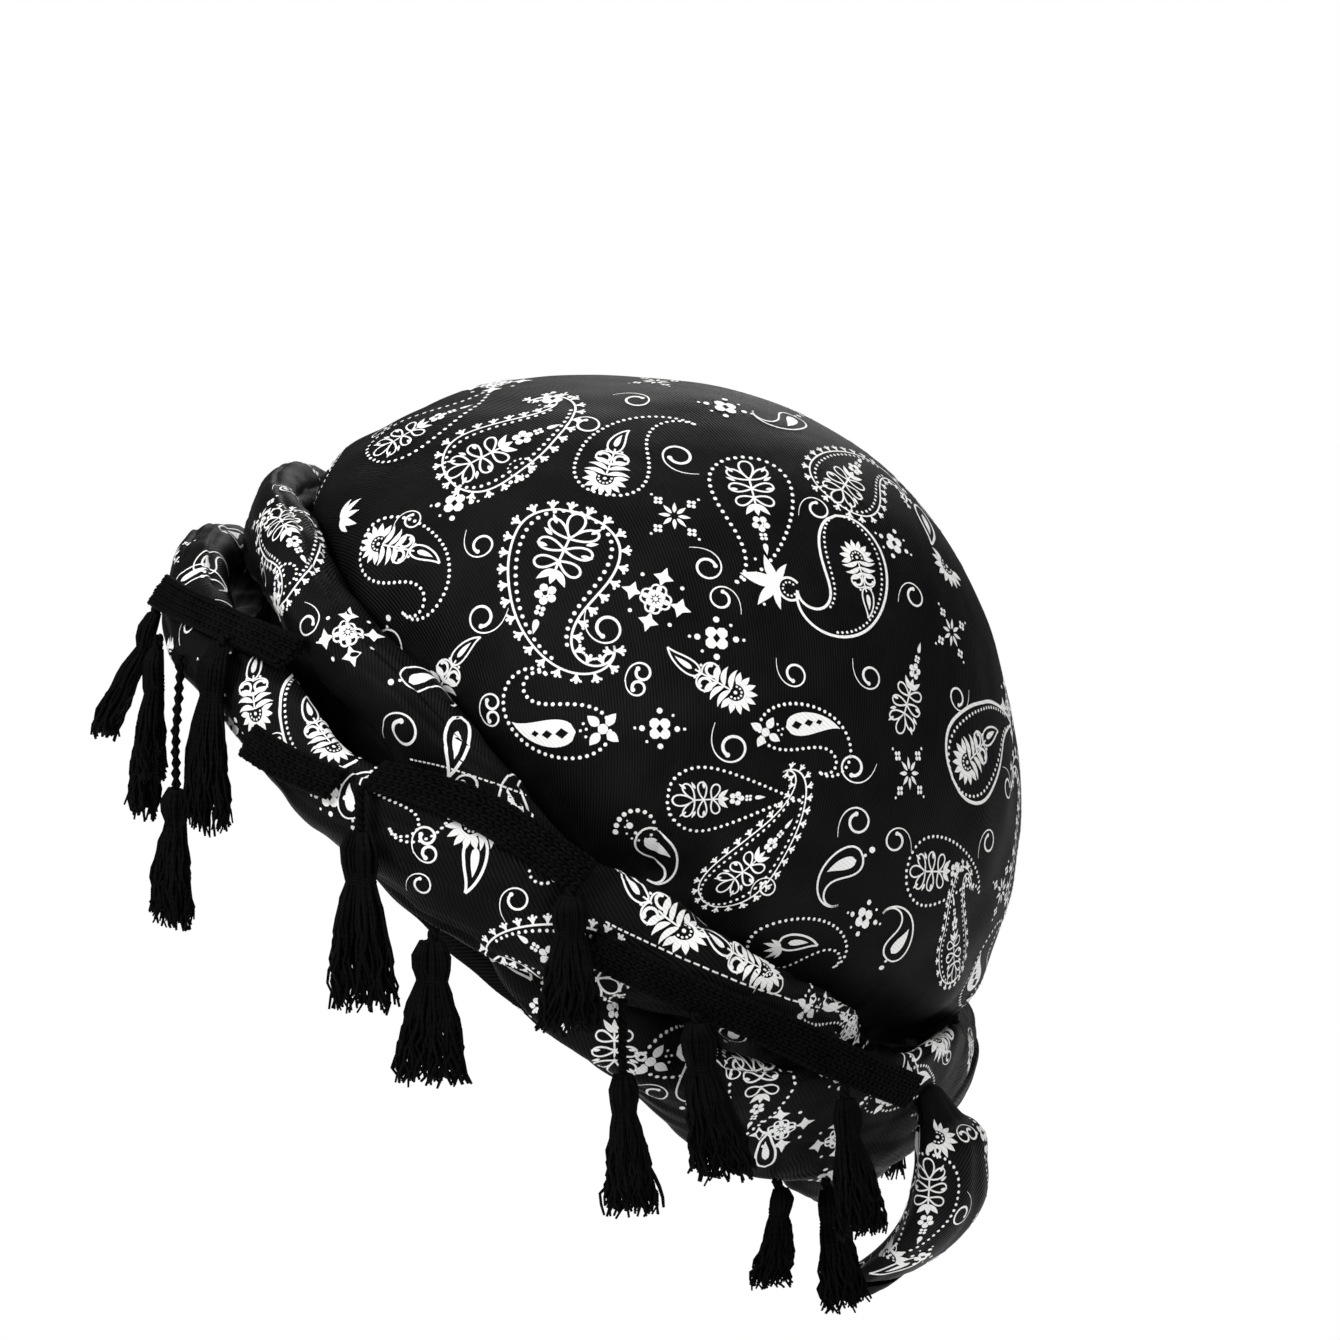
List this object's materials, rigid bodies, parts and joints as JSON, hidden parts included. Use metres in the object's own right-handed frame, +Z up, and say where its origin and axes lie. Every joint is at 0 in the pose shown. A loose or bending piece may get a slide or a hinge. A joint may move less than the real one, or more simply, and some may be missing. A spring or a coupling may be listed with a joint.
{
  "type": "twisted turban hat",
  "caption": "Soft domed cap in paisley-print cloth with a satin lining and a twisted scarf band edged with braid and tassels, held as a head wears it.",
  "frame": {"origin": "middle of the rim opening, where the head goes in", "axes": "+Z up as worn, the forehead faces -Y, the wearer's left is +X, and the rim slopes down 40 degrees towards the nape"},
  "size_m": [0.2456, 0.2582, 0.2496],
  "materials": {
    "printed_cloth": "black twill cloth with a white paisley print",
    "satin_lining": "black satin, softly shining",
    "black_thread": "matt black cotton thread, crocheted and tasselled"
  },
  "bodies": {
    "root": {"braid_back": "black_thread", "braid_front": "black_thread", "braid_front_low": "black_thread", "braid_right": "black_thread", "braid_right_back": "black_thread", "braid_side": "black_thread", "crown": "printed_cloth", "lining": "satin_lining", "nape_tail": "printed_cloth", "rim_hem": "printed_cloth", "tail_end": "black_thread", "tassel_back_a": "black_thread", "tassel_back_b": "black_thread", "tassel_back_c": "black_thread", "tassel_front_a": "black_thread", "tassel_front_b": "black_thread", "tassel_front_c": "black_thread", "tassel_front_d": "black_thread", "tassel_front_e": "black_thread", "tassel_left_a": "black_thread", "tassel_left_b": "black_thread", "tassel_left_c": "black_thread", "tassel_left_d": "black_thread", "tassel_left_e": "black_thread", "tassel_right_a": "black_thread", "tassel_right_b": "black_thread", "tassel_right_c": "black_thread", "tassel_right_d": "black_thread", "tassel_right_e": "black_thread", "wrap_strand_a": "printed_cloth", "wrap_strand_b": "printed_cloth"}
  },
  "joints": []
}
